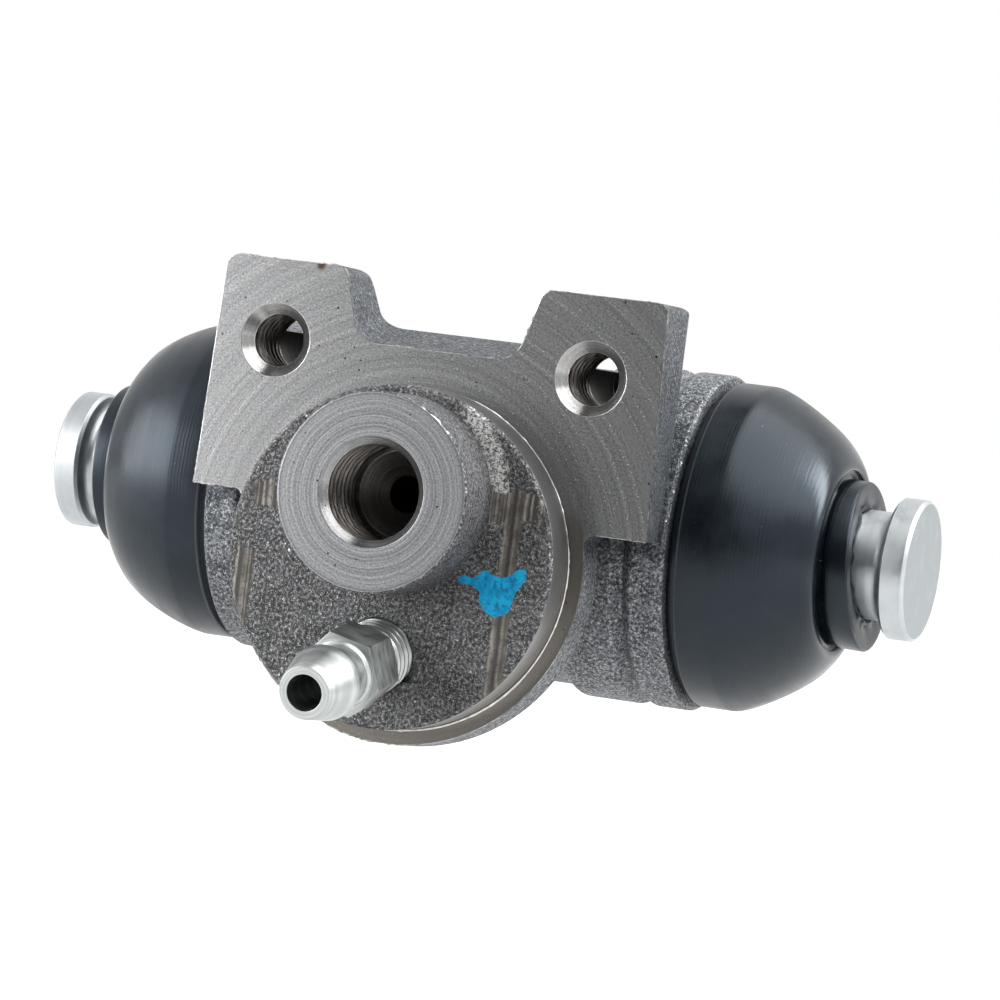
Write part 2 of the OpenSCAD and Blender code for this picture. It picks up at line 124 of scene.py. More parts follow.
def mixColor(tree, factor, a, b):
    a, b = (c if isinstance(c, bpy.types.NodeSocket) else (*c, 1) for c in (a, b))
    return put(tree, "Mix", {0: factor, 6: a, 7: b}, data_type="RGBA").outputs[2]


def noiseValue(tree, vector, scale, detail=2.0, roughness=0.5):
    inputs = {"Vector": vector, "Scale": scale, "Detail": detail, "Roughness": roughness}
    return put(tree, "TexNoise", inputs).outputs["Fac"]


def lineNoise(tree, along, scale, detail=2.0):
    inputs = {"W": along, "Scale": scale, "Detail": detail}
    return put(tree, "TexNoise", inputs, noise_dimensions="1D").outputs["Fac"]


def newGroup(name, inputs, outputs):
    tree = bpy.data.node_groups.new(name, "ShaderNodeTree")
    for label, kind, value in inputs:
        socket = tree.interface.new_socket(label, in_out="INPUT", socket_type="NodeSocket" + kind)
        if value is not None:
            socket.default_value = value
    for label, kind in outputs:
        tree.interface.new_socket(label, in_out="OUTPUT", socket_type="NodeSocket" + kind)
    return tree, tree.nodes.new("NodeGroupInput").outputs, tree.nodes.new("NodeGroupOutput").inputs


def useGroup(tree, group, **inputs):
    node = tree.nodes.new("ShaderNodeGroup")
    node.node_tree = group
    for key, value in inputs.items():
        plug(tree, node.inputs[key.capitalize()], value)
    return node.outputs


def newMaterial(name):
    material = bpy.data.materials.new(name)
    material.use_nodes = True
    tree = material.node_tree
    shader = tree.nodes["Principled BSDF"]
    local = put(tree, "TexCoord").outputs["Object"]
    place = put(tree, "VectorMath", {0: local, "Scale": 1 / mm}, operation="SCALE").outputs[0]
    return material, tree, shader, place


def feed(tree, shader, **inputs):
    for key, value in inputs.items():
        name = {"color": "Base Color", "normal": "Normal"}.get(key, key.capitalize())
        tree.links.new(value, shader.inputs[name])


def bump(tree, height, distance, strength=1.0, normal=None):
    inputs = {"Height": height, "Distance": distance, "Strength": strength}
    if normal is not None:
        inputs["Normal"] = normal
    return put(tree, "Bump", inputs).outputs[0]


# shared effects

def makeTurningMarks():
    # fine tool lines at a pitch, with uneven depth; Along is the distance across the lines in mm
    tree, given, out = newGroup(
        "turningMarks",
        [("Along", "Float", 0.0), ("Pitch", "Float", 0.2), ("Place", "Vector", None)],
        [("Height", "Float"), ("Tone", "Float")],
    )
    wander = noiseValue(tree, given["Place"], 0.35, 2.0)
    shifted = plus(tree, given["Along"], times(tree, wander, 0.25))
    turns = calc(tree, "DIVIDE", shifted, given["Pitch"])
    wave = calc(tree, "SINE", times(tree, turns, 2 * math.pi))
    uneven = lineNoise(tree, turns, 0.37, 3.0)
    ridge = times(tree, remap(tree, wave, -1.0, 1.0), remap(tree, uneven, 0.3, 0.7))
    tree.links.new(ridge, out["Height"])
    streak = lineNoise(tree, turns, 0.21, 4.0)
    patchy = noiseValue(tree, given["Place"], 0.6, 3.0)
    tone = times(tree, remap(tree, streak, 0.3, 0.72), remap(tree, patchy, 0.25, 0.75, 0.5, 1.0))
    tree.links.new(tone, out["Tone"])
    return tree


def makeCastGrain():
    # blasted casting skin: fine uneven grains, bright where they stand up and dark in the pits
    tree, given, out = newGroup(
        "castGrain",
        [("Place", "Vector", None), ("Size", "Float", 0.3)],
        [("Height", "Float"), ("Facet", "Float"), ("Patch", "Float"), ("Pit", "Float")],
    )
    scale = calc(tree, "DIVIDE", 1.0, given["Size"])
    coarse = noiseValue(tree, given["Place"], scale, 1.0, 0.6)
    fine = noiseValue(tree, given["Place"], times(tree, scale, 2.3), 1.0, 0.6)
    both = plus(tree, times(tree, coarse, 0.5), times(tree, fine, 0.5))
    tree.links.new(both, out["Height"])
    tree.links.new(remap(tree, both, 0.46, 0.67), out["Facet"])
    tree.links.new(noiseValue(tree, given["Place"], 0.42, 3.0, 0.6), out["Patch"])
    tree.links.new(remap(tree, coarse, 0.46, 0.3), out["Pit"])
    return tree


def makeSpecks():
    # scattered small dots, for pores in metal and dust on rubber
    tree, given, out = newGroup(
        "specks",
        [("Place", "Vector", None), ("Spacing", "Float", 1.0), ("Size", "Float", 0.1),
         ("Share", "Float", 0.3)],
        [("Mask", "Float")],
    )
    scale = calc(tree, "DIVIDE", 1.0, given["Spacing"])
    cells = put(tree, "TexVoronoi", {"Vector": given["Place"], "Scale": scale, "Randomness": 1.0})
    away = times(tree, cells.outputs["Distance"], given["Spacing"])
    chance = put(tree, "SeparateColor", {"Color": cells.outputs["Color"]}).outputs
    size = times(tree, given["Size"], remap(tree, chance[2], 0.0, 1.0, 0.4, 1.2))
    inside = calc(tree, "LESS_THAN", away, size)
    picked = calc(tree, "LESS_THAN", chance[0], given["Share"])
    tree.links.new(times(tree, inside, picked), out["Mask"])
    return tree


def makeEdgeBreak():
    # normal that rounds sharp edges, and a mask that is 1 along them
    tree, given, out = newGroup(
        "edgeBreak",
        [("Radius", "Float", 0.1 * mm)],
        [("Normal", "Vector"), ("Mask", "Float")],
    )
    soft = put(tree, "Bevel", {"Radius": given["Radius"]}, samples=4).outputs[0]
    flat = put(tree, "NewGeometry").outputs["Normal"]
    same = measure(tree, "DOT_PRODUCT", soft, flat)
    tree.links.new(soft, out["Normal"])
    tree.links.new(remap(tree, same, 0.995, 0.9), out["Mask"])
    return tree


turningMarks = makeTurningMarks()
castGrain = makeCastGrain()
specks = makeSpecks()
edgeBreak = makeEdgeBreak()
print("shared effects made")


# finishes

castLooks = {
    "castIron": {
        "dark": (0.063, 0.069, 0.077), "light": (0.14, 0.149, 0.16), "facet": (0.44, 0.46, 0.48),
        "grain": 0.30, "depth": 0.24 * mm, "roughness": (0.32, 0.55), "glints": 0.16,
    },
    # painted shade: lug sides, lug tops and the notch floor, in a darker copy of the cast iron
    "castLugPaintedShade": {
        "dark": (0.028, 0.032, 0.038), "light": (0.066, 0.073, 0.082), "facet": (0.235, 0.255, 0.275),
        "grain": 0.30, "depth": 0.24 * mm, "roughness": (0.32, 0.55), "glints": 0.26,
    },
    # painted shade: the side wall of the boss, in a darker copy of the cast iron
    "castBossPaintedShade": {
        "dark": (0.040, 0.042, 0.047), "light": (0.11, 0.113, 0.12), "facet": (0.42, 0.42, 0.42),
        "grain": 0.30, "depth": 0.24 * mm, "roughness": (0.34, 0.56), "glints": 0.16,
    },
    "castSpigotFace": {
        "dark": (0.024, 0.026, 0.030), "light": (0.080, 0.082, 0.088), "facet": (0.33, 0.327, 0.322),
        "grain": 0.33, "depth": 0.26 * mm, "roughness": (0.34, 0.58), "glints": 0.14,
    },
}


def castSkin(tree, place, look):
    grain = useGroup(tree, castGrain, place=place, size=look["grain"])
    glints = useGroup(tree, specks, place=place, spacing=0.55, size=0.11, share=look["glints"])
    color = mixColor(tree, remap(tree, grain["Patch"], 0.3, 0.7), look["dark"], look["light"])
    color = mixColor(tree, grain["Facet"], color, look["facet"])
    color = mixColor(tree, times(tree, grain["Pit"], 0.75), color, (0.01, 0.01, 0.011))
    color = mixColor(tree, times(tree, glints["Mask"], 0.55), color, (0.66, 0.66, 0.65))
    bright = calc(tree, "MAXIMUM", grain["Facet"], glints["Mask"])
    rough = remap(tree, bright, 0.0, 1.0, look["roughness"][1], look["roughness"][0])
    metal = remap(tree, bright, 0.0, 1.0, 0.25, 0.9)        # grains are metal, the skin between is scale
    return grain, color, rough, metal


def makeCastIron(name):
    material, tree, shader, place = newMaterial(name)
    look = castLooks[name]
    grain, color, rough, metal = castSkin(tree, place, look)
    normal = bump(tree, grain["Height"], look["depth"], 1.0)
    feed(tree, shader, color=color, roughness=rough, metallic=metal, normal=normal)
    return material


portPlace = mounts["pipe_port"]["pos_m"]
portCentre = (portPlace[0] / mm, portPlace[2] / mm)
spigotFaceLook = {
    "streaks": [(11.7, 0.8, -11.5, 6.0), (-14.2, 0.9, -9.5, -1.0)],      # x, half width, z from, z to
    "patches": [(10.7, 6.0, 3.8, 1.5), (-12.6, 4.2, 1.7, 1.2)],          # x, z, half width, half height
    "ground": (0.34, 0.312, 0.28),
    "shadow": (0.07, 0.064, 0.058),
    "pitch": 0.11,
    # painted highlight: the band of bright grains at the upper right of the boss
    "paintedGlintBand": {"radius": 10.1, "half": 0.9, "toward": 24.0, "spread": 31.0,
                 "color": (0.82, 0.81, 0.79), "metal": 0.4},
}


def groundMask(tree, place, look):
    # flats where casting flash was ground away
    axes = put(tree, "SeparateXYZ", {0: place}).outputs
    ragged = minus(tree, noiseValue(tree, place, 0.9, 5.0, 0.7), 0.5)
    mask = None
    for x, half, low, high in look["streaks"]:
        off = calc(tree, "ABSOLUTE", minus(tree, axes["X"], x))
        across = remap(tree, plus(tree, off, times(tree, ragged, 1.3)), half + 0.15, half - 0.15)
        mid = calc(tree, "ABSOLUTE", minus(tree, axes["Z"], (low + high) / 2))
        reach = (high - low) / 2
        down = remap(tree, plus(tree, mid, times(tree, ragged, 2.5)), reach + 0.3, reach - 0.3)
        part = times(tree, across, down)
        mask = part if mask is None else calc(tree, "MAXIMUM", mask, part)
    for x, z, halfX, halfZ in look["patches"]:
        offX = calc(tree, "DIVIDE", calc(tree, "ABSOLUTE", minus(tree, axes["X"], x)), halfX)
        offZ = calc(tree, "DIVIDE", calc(tree, "ABSOLUTE", minus(tree, axes["Z"], z)), halfZ)
        away = plus(tree, calc(tree, "MAXIMUM", offX, offZ), times(tree, ragged, 2.6))
        mask = calc(tree, "MAXIMUM", mask, remap(tree, away, 1.15, 0.85))
    return mask, axes


def paintedGlintBandMask(tree, place, axes, band):
    # painted highlight: bright grains in the corner between boss and spigot, at the upper right, standing in for
    # grains that catch the light
    x, z, radius = fromAxis(tree, axes, portCentre)
    ragged = times(tree, minus(tree, noiseValue(tree, place, 1.3, 4.0, 0.7), 0.5), 2.4)
    off = calc(tree, "ABSOLUTE", minus(tree, radius, band["radius"]))
    ring = remap(tree, plus(tree, off, ragged), band["half"] + 0.45, band["half"] - 0.45)
    toward, spread = math.radians(band["toward"]), math.radians(band["spread"])
    reach = plus(tree, times(tree, x, math.cos(toward)), times(tree, z, math.sin(toward)))
    turn = calc(tree, "DIVIDE", reach, radius)
    return times(tree, ring, remap(tree, turn, math.cos(spread + 0.1), math.cos(spread - 0.1)))


def makeSpigotFace():
    material, tree, shader, place = newMaterial("castSpigotFace")
    look, skin = spigotFaceLook, castLooks["castSpigotFace"]
    grain, color, rough, metal = castSkin(tree, place, skin)
    mask, axes = groundMask(tree, place, look)
    # painted highlight: bright grains mixed in along that band
    band = paintedGlintBandMask(tree, place, axes, look["paintedGlintBand"])
    grains = times(tree, band, remap(tree, grain["Height"], 0.40, 0.58, 0.12, 1.0))
    color = mixColor(tree, grains, color, look["paintedGlintBand"]["color"])
    metal = times(tree, metal, remap(tree, grains, 0.0, 1.0, 1.0, look["paintedGlintBand"]["metal"]))
    marks = useGroup(tree, turningMarks, along=axes["X"], pitch=look["pitch"], place=place)
    ground = mixColor(tree, remap(tree, marks["Tone"], 0.1, 0.75), look["shadow"], look["ground"])
    ground = mixColor(tree, times(tree, grain["Pit"], 0.5), ground, skin["dark"])
    color = mixColor(tree, mask, color, ground)
    rough = plus(tree, rough, times(tree, mask, 0.06))
    keep = minus(tree, 1.0, mask)
    scores = times(tree, times(tree, marks["Height"], mask), 0.25)
    height = plus(tree, times(tree, grain["Height"], keep), scores)
    normal = bump(tree, height, skin["depth"], 1.0)
    feed(tree, shader, color=color, roughness=rough, metallic=metal, normal=normal)
    return material


def makeTurned(name, look):
    # machined iron: tool lines round an axis or along one, pores, and bright edges that are partly wear and partly
    # painted highlight
    material, tree, shader, place = newMaterial(name)
    axes = put(tree, "SeparateXYZ", {0: place}).outputs
    along = fromAxis(tree, axes, look["centre"])[2] if "centre" in look else axes["Y"]
    marks = useGroup(tree, turningMarks, along=along, pitch=look["pitch"], place=place)
    fine = useGroup(tree, turningMarks, along=along, pitch=look["pitch"] * 0.37, place=place)
    pores = useGroup(tree, specks, place=place, spacing=0.9, size=0.09, share=look["pores"])
    wornAndLitEdges = useGroup(tree, edgeBreak, radius=0.12 * mm)
    mottle = noiseValue(tree, place, 5.0, 3.0, 0.75)
    band, line = look["contrast"]
    both = calc(tree, "MAXIMUM", marks["Height"], fine["Height"])
    lines = plus(tree, times(tree, marks["Tone"], band), times(tree, both, line))
    color = mixColor(tree, lines, look["dark"], look["light"])
    color = mixColor(tree, remap(tree, mottle, 0.40, 0.66, 0.0, look["speckle"]), color, (0.04, 0.04, 0.04))
    if "rim" in look:
        # the narrow ring round the spigot is duller than the lugs
        rim, rust = look["rim"], look["rust"]
        ring = remap(tree, along, rim["to"] + 0.15, rim["to"] - 0.15)
        low = remap(tree, axes["Z"], rim["below"] + 1.5, rim["below"] - 1.5)
        color = mixColor(tree, times(tree, ring, low), color, rim["color"])
        # a rust spot at the top edge of the left lug
        away = plus(tree, measure(tree, "DISTANCE", place, rust["at"]), times(tree, mottle, 1.2))
        spot = remap(tree, away, rust["size"] + 0.7, rust["size"] + 0.3)
        color = mixColor(tree, spot, color, rust["color"])
    color = mixColor(tree, pores["Mask"], color, (0.03, 0.03, 0.03))
    # bright edges: partly wear, partly painted highlight
    color = mixColor(tree, times(tree, wornAndLitEdges["Mask"], look["wearAndHighlight"]), color, (0.68, 0.68, 0.67))
    uneven = plus(tree, times(tree, fine["Tone"], 0.5), mottle)
    dull, bright = look["roughness"] + look["polish"], look["roughness"] - look["polish"]
    rough = remap(tree, uneven, 0.3, 1.1, dull, bright, smooth=False)
    height = plus(tree, marks["Height"], times(tree, fine["Height"], 0.4))
    height = minus(tree, height, times(tree, pores["Mask"], 1.5))
    shader.inputs["Metallic"].default_value = 0.9
    normal = bump(tree, height, look["depth"], 1.0, wornAndLitEdges["Normal"])
    feed(tree, shader, color=color, roughness=rough, normal=normal)
    return material


turnedLooks = {
    "turnedFace": {
        "centre": (0.0, 0.0), "pitch": 0.24, "contrast": (0.45, 0.38), "depth": 0.0003 * mm,
        "dark": (0.421, 0.426, 0.434), "light": (0.655, 0.66, 0.664), "speckle": 0.38, "pores": 0.5,
        "roughness": 0.25, "polish": 0.03, "wearAndHighlight": 0.3,
        "rim": {"to": 17.6, "below": 6.0, "color": (0.30, 0.275, 0.25)},
        "rust": {"at": (-12.1, 0.0, 26.2), "size": 0.5, "color": (0.15, 0.085, 0.055)},
    },
    "turnedBoss": {
        "centre": portCentre, "pitch": 0.27, "contrast": (0.1, 0.75), "depth": 0.0014 * mm,
        "dark": (0.31, 0.316, 0.328), "light": (0.70, 0.712, 0.73), "speckle": 0.46, "pores": 0.4,
        "roughness": 0.31, "polish": 0.03, "wearAndHighlight": 0.1,
    },
    "portChamfer": {
        "pitch": 0.12, "contrast": (0.4, 0.5), "depth": 0.004 * mm,
        "dark": (0.20, 0.20, 0.20), "light": (0.42, 0.42, 0.42), "speckle": 0.3, "pores": 0.2,
        "roughness": 0.24, "polish": 0.04, "wearAndHighlight": 0.2,
    },
    "turnedSpigot": {
        "pitch": 0.22, "contrast": (0.45, 0.55), "depth": 0.006 * mm,
        "dark": (0.32, 0.32, 0.32), "light": (0.54, 0.54, 0.535), "speckle": 0.25, "pores": 0.15,
        "roughness": 0.32, "polish": 0.05, "wearAndHighlight": 0.2,
    },
    "cutThread": {
        "pitch": 0.11, "contrast": (0.45, 0.55), "depth": 0.006 * mm,
        "dark": (0.080, 0.070, 0.064), "light": (0.25, 0.228, 0.212), "speckle": 0.3, "pores": 0.1,
        "roughness": 0.30, "polish": 0.05, "wearAndHighlight": 0.35,
    },
    "countersink": {
        "pitch": 0.09, "contrast": (0.45, 0.55), "depth": 0.004 * mm,
        "dark": (0.30, 0.297, 0.293), "light": (0.50, 0.495, 0.49), "speckle": 0.2, "pores": 0.15,
        "roughness": 0.20, "polish": 0.03, "wearAndHighlight": 0.3,
    },
    "boredPassage": {
        "pitch": 0.18, "contrast": (0.45, 0.55), "depth": 0.010 * mm,
        "dark": (0.14, 0.130, 0.122), "light": (0.38, 0.36, 0.342), "speckle": 0.3, "pores": 0.2,
        "roughness": 0.34, "polish": 0.05, "wearAndHighlight": 0.2,
    },
    # painted shade: the drilled walls inside the holes, coloured near black
    "shadedDrilledPocket": {
        "pitch": 0.16, "contrast": (0.45, 0.55), "depth": 0.010 * mm,
        "dark": (0.025, 0.024, 0.023), "light": (0.085, 0.082, 0.08), "speckle": 0.2, "pores": 0.1,
        "roughness": 0.32, "polish": 0.05, "wearAndHighlight": 0.4,
    },
}

rubberLook = {
    "base": (0.0045, 0.0065, 0.0095),
    "bloom": (0.010, 0.0135, 0.018),
    "dust": (0.30, 0.30, 0.31),
    # painted highlight: a lighter band along the rim of the boot
    "paintedRimHighlight": (0.10, 0.105, 0.115),
    "roughness": (0.27, 0.38),
    "polish": 0.10,         # how much smoother the rubbed crest is
    "mouldLines": 0.34,
    "rimAt": (24.05, 24.2, 24.3, 24.5),         # mm along the bore
    "crestAt": (32.6, 34.4, 36.2, 37.2),
}


def makeRubber(name, look):
    material, tree, shader, place = newMaterial(name)
    axes = put(tree, "SeparateXYZ", {0: place}).outputs
    lines = useGroup(tree, turningMarks, along=axes["X"], pitch=look["mouldLines"], place=place)
    bloom = noiseValue(tree, place, 0.22, 4.0, 0.6)
    skin = noiseValue(tree, place, 9.0, 3.0, 0.6)
    dust = useGroup(tree, specks, place=place, spacing=1.7, size=0.07, share=0.28)
    lint = useGroup(tree, specks, place=place, spacing=0.45, size=0.035, share=0.12)
    color = mixColor(tree, remap(tree, bloom, 0.35, 0.75), look["base"], look["bloom"])
    color = mixColor(tree, times(tree, dust["Mask"], 0.6), color, look["dust"])
    color = mixColor(tree, times(tree, lint["Mask"], 0.4), color, look["dust"])
    reach = calc(tree, "ABSOLUTE", axes["X"])
    # painted highlight: lighter colour along the rim
    color = mixColor(tree, span(tree, reach, *look["rimAt"]), color, look["paintedRimHighlight"])
    rough = remap(tree, bloom, 0.3, 0.75, look["roughness"][0], look["roughness"][1])
    rough = plus(tree, rough, times(tree, lines["Tone"], 0.05))
    rough = minus(tree, rough, times(tree, span(tree, reach, *look["crestAt"]), look["polish"]))
    height = plus(tree, times(tree, lines["Height"], 0.35), times(tree, skin, 0.5))
    height = plus(tree, height, times(tree, dust["Mask"], 0.8))
    shader.inputs["Specular IOR Level"].default_value = 0.44
    shader.inputs["Specular Tint"].default_value = (0.74, 0.88, 1.0, 1.0)
    feed(tree, shader, color=color, roughness=rough, normal=bump(tree, height, 0.02 * mm, 0.7))
    return material


def makeBrightMetal(name, look):
    # turned and plated metal; lines run round the axis that the look names
    material, tree, shader, place = newMaterial(name)
    turned = put(tree, "VectorMath", {0: place, 1: look["origin"]}, operation="SUBTRACT").outputs[0]
    along = measure(tree, "DOT_PRODUCT", turned, look["axis"])
    back = put(tree, "VectorMath", {0: look["axis"], "Scale": along}, operation="SCALE").outputs[0]
    radial = put(tree, "VectorMath", {0: turned, 1: back}, operation="SUBTRACT").outputs[0]
    spiral = plus(tree, along, times(tree, measure(tree, "LENGTH", radial), 0.6))
    marks = useGroup(tree, turningMarks, along=spiral, pitch=look["pitch"], place=place)
    stains = noiseValue(tree, place, 0.5, 4.0, 0.6)
    nicks = useGroup(tree, specks, place=place, spacing=1.1, size=0.06, share=look["nicks"])
    wornAndLitEdges = useGroup(tree, edgeBreak, radius=0.1 * mm)
    rings = plus(tree, times(tree, marks["Tone"], 0.6), times(tree, marks["Height"], 0.45))
    color = mixColor(tree, rings, look["dark"], look["light"])
    if "end" in look:
        # painted shade: the flat end is coloured darker than the turned sides
        flat = measure(tree, "DOT_PRODUCT", put(tree, "NewGeometry").outputs["Normal"], look["axis"])
        ends = remap(tree, calc(tree, "ABSOLUTE", flat), 0.9, 0.98)
        color = mixColor(tree, ends, color, look["end"])
    color = mixColor(tree, remap(tree, stains, 0.45, 0.75, 0.0, 0.5), color, look["stain"])
    color = mixColor(tree, times(tree, nicks["Mask"], 0.5), color, (0.2, 0.2, 0.2))
    rough = remap(tree, stains, 0.3, 0.7, look["roughness"] - 0.05, look["roughness"] + 0.08)
    shader.inputs["Metallic"].default_value = 1.0
    normal = bump(tree, marks["Height"], look["depth"], 1.0, wornAndLitEdges["Normal"])
    feed(tree, shader, color=color, roughness=rough, normal=normal)
    return material


def makePlain(name, base, metal, rough):
    # for burrs, and for pieces shut inside the bore
    material, tree, shader, place = newMaterial(name)
    grain = noiseValue(tree, place, 2.0, 4.0, 0.6)
    lift = tuple(min(1.0, c * 1.6) for c in base)
    shader.inputs["Metallic"].default_value = metal
    color = mixColor(tree, remap(tree, grain, 0.35, 0.7), base, lift)
    feed(tree, shader, color=color, roughness=remap(tree, grain, 0.3, 0.7, rough - 0.08, rough + 0.08),
         normal=bump(tree, grain, 0.01 * mm, 0.6))
    return material


paintLook = {"base": (0.002, 0.29, 0.60), "thin": (0.012, 0.47, 0.82), "low": (0.002, 0.15, 0.36),
             "roughness": 0.42}


def makePaint():
    material, tree, shader, place = newMaterial("markingPaint")
    swirl = noiseValue(tree, place, 0.9, 4.0, 0.6)
    wrinkle = noiseValue(tree, place, 2.2, 5.0, 0.65)
    pores = useGroup(tree, specks, place=place, spacing=0.6, size=0.1, share=0.16)
    color = mixColor(tree, remap(tree, swirl, 0.35, 0.65), paintLook["base"], paintLook["thin"])
    color = mixColor(tree, remap(tree, wrinkle, 0.50, 0.36, 0.0, 0.8), color, paintLook["low"])
    color = mixColor(tree, pores["Mask"], color, (0.03, 0.05, 0.10))
    shader.inputs["Roughness"].default_value = paintLook["roughness"]
    shader.inputs["Specular IOR Level"].default_value = 0.2
    feed(tree, shader, color=color, normal=bump(tree, wrinkle, 0.3 * mm, 0.8))
    return material


boreLow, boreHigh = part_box("piston_right")
boreAxis = ((boreLow.y + boreHigh.y) / 2, (boreLow.z + boreHigh.z) / 2)
bleedJoint = next(j for j in frame["joints"] if j["name"] == "bleed_screw_turn")
bleedPoint = Vector(bleedJoint["pos_m"])
bleedAxis = Vector(bleedJoint["axis"]).normalized()

pistonLook = {"origin": (0.0, boreAxis[0] / mm, boreAxis[1] / mm), "axis": (1.0, 0.0, 0.0), "pitch": 0.13,
              "dark": (0.50, 0.527, 0.543), "light": (0.575, 0.602, 0.618), "stain": (0.465, 0.487, 0.501),
              # painted shade: the colour of the darker flat ends
              "end": (0.375, 0.405, 0.42), "nicks": 0.12, "roughness": 0.41, "depth": 0.002 * mm}
zincLook = {"origin": tuple(bleedPoint / mm), "axis": tuple(bleedAxis), "pitch": 0.21,
            "dark": (0.39, 0.413, 0.412), "light": (0.66, 0.688, 0.679), "stain": (0.52, 0.53, 0.48),
            "nicks": 0.08, "roughness": 0.35, "depth": 0.008 * mm}

finishes = {"castSpigotFace": makeSpigotFace()}
for finishName in ("castIron", "castLugPaintedShade", "castBossPaintedShade"):
    finishes[finishName] = makeCastIron(finishName)
for finishName, finishLook in turnedLooks.items():
    finishes[finishName] = makeTurned(finishName, finishLook)
finishes["bootRubber"] = makeRubber("bootRubber", rubberLook)
finishes["pistonSteel"] = makeBrightMetal("pistonSteel", pistonLook)
finishes["zincPlate"] = makeBrightMetal("zincPlate", zincLook)
finishes["markingPaint"] = makePaint()
finishes["cupRubber"] = makePlain("cupRubber", (0.02, 0.02, 0.02), 0.0, 0.6)
finishes["pressedSteel"] = makePlain("pressedSteel", (0.45, 0.44, 0.40), 1.0, 0.35)
finishes["rawBurr"] = makePlain("rawBurr", (0.34, 0.34, 0.335), 1.0, 0.32)
# painted highlight: the burr ring round the spigot foot, in a lighter copy of the burr metal
finishes["footBurrPaintedHighlight"] = makePlain("footBurrPaintedHighlight", (0.50, 0.49, 0.47), 1.0, 0.34)
finishes["springWire"] = makePlain("springWire", (0.22, 0.22, 0.24), 1.0, 0.35)
print("finishes made:", len(finishes))


# meshes

def newPiece(name, bm, materials):
    mesh = bpy.data.meshes.new(name)
    bm.normal_update()
    bm.to_mesh(mesh)
    bm.free()
    if "custom_normal" in mesh.attributes:
        mesh.attributes.remove(mesh.attributes["custom_normal"])    # the frame's own normals no longer fit
    piece = bpy.data.objects.new(name, mesh)
    bpy.context.scene.collection.objects.link(piece)
    for key in materials:
        mesh.materials.append(finishes[key])
    return piece


def smoothBy(piece, degrees, weighted=True):
    piece.data.shade_smooth()
    piece.data.set_sharp_from_angle(angle=math.radians(degrees))
    if weighted:
        modifier = piece.modifiers.new("evenNormals", "WEIGHTED_NORMAL")
        modifier.keep_sharp = True
        modifier.weight = 80


def splitFinishes(piece):
    # normals stop where one finish meets another, so that flat faces stay flat
    mesh, seen = piece.data, {}
    for polygon in mesh.polygons:
        for key in polygon.edge_keys:
            seen.setdefault(key, set()).add(polygon.material_index)
    for edge in mesh.edges:
        if len(seen.get(edge.key, ())) > 1:
            edge.use_edge_sharp = True


def weldedCopy(node):
    bm = bmesh.new()
    bm.from_mesh(frame["nodes"][node].data)
    bmesh.ops.remove_doubles(bm, verts=bm.verts, dist=0.002 * mm)
    for face in bm.faces:
        face.material_index = 0
    return bm


def skinRings(bm, rings):
    # faces between closed rings of as many vertices
    made = []
    for a, b in zip(rings, rings[1:]):
        for j in range(len(a)):
            k = (j + 1) % len(a)
            made.append(bm.faces.new((a[j], a[k], b[k], b[j])))
    return made


def cutThread(bm, point, axis, look, materialIndex):
    # swaps a plain round wall for a helical thread between the same two end circles
    side = axis.orthogonal().normalized()
    other = axis.cross(side)
    radius, tol = look["radius"], 0.02 * mm

    def polar(co):
        off = co - point
        s = off.dot(axis)
        return s, (off - s * axis).length

    def onWall(co):
        s, r = polar(co)
        return abs(r - radius) < tol and look["from"] - tol < s < look["to"] + tol

    around = [f for f in bm.faces if abs(f.normal.dot(axis)) < 0.05
              and all(abs(polar(v.co)[1] - radius) < tol for v in f.verts)]
    for stop in (look["from"], look["to"]):
        cut = {g for f in around if f.is_valid for g in (f, *f.edges, *f.verts)}
        bmesh.ops.bisect_plane(bm, geom=list(cut), dist=tol / 4, plane_co=point + axis * stop, plane_no=axis)
        around = [f for f in bm.faces if abs(f.normal.dot(axis)) < 0.05
                  and all(abs(polar(v.co)[1] - radius) < tol for v in f.verts)]
    wall = [f for f in around if all(onWall(v.co) for v in f.verts)]
    bmesh.ops.delete(bm, geom=wall, context="FACES")
    rims = {"from": [], "to": []}
    for edge in bm.edges:
        if edge.is_boundary and all(onWall(v.co) for v in edge.verts):
            s = polar(edge.verts[0].co)[0]
            rims["from" if abs(s - look["from"]) < abs(s - look["to"]) else "to"].append(edge)
    length = look["to"] - look["from"]
    count = int(math.ceil(length / look["pitch"] * look["perTurn"]))
    segments = look["segments"]
    inset = 0.1 * look["pitch"]
    rings = []
    for i in range(count + 1):
        s = look["from"] + inset + (length - 2 * inset) * i / count
        ends = min(s - look["from"], look["to"] - s) / look["pitch"]
        fade = min(1.0, max(0.0, (ends - 0.1) / look["runOut"]))
        ring = []
        for j in range(segments):
            turn = j / segments
            phase = (s / look["pitch"] - turn * look["hand"]) % 1.0
            tooth = min(1.0, max(0.0, 1.35 - abs(phase - 0.5) * 3.4))
            r = radius + look["depth"] * tooth * fade
            angle = 2 * math.pi * turn
            out = side * math.cos(angle) + other * math.sin(angle)
            ring.append(bm.verts.new(point + axis * s + out * r))
        rings.append(ring)
    made = skinRings(bm, rings)
    bm.edges.index_update()
    for ring, key in ((rings[0], "from"), (rings[-1], "to")):
        loop = [bm.edges.get((ring[j], ring[(j + 1) % segments])) for j in range(segments)]
        made += bmesh.ops.bridge_loops(bm, edges=loop + rims[key])["faces"]
    for face in made:
        face.material_index = materialIndex
    print("thread cut:", len(wall), "faces out,", len(made), "in; rims", len(rims["from"]), len(rims["to"]))


# the casting, with its threads

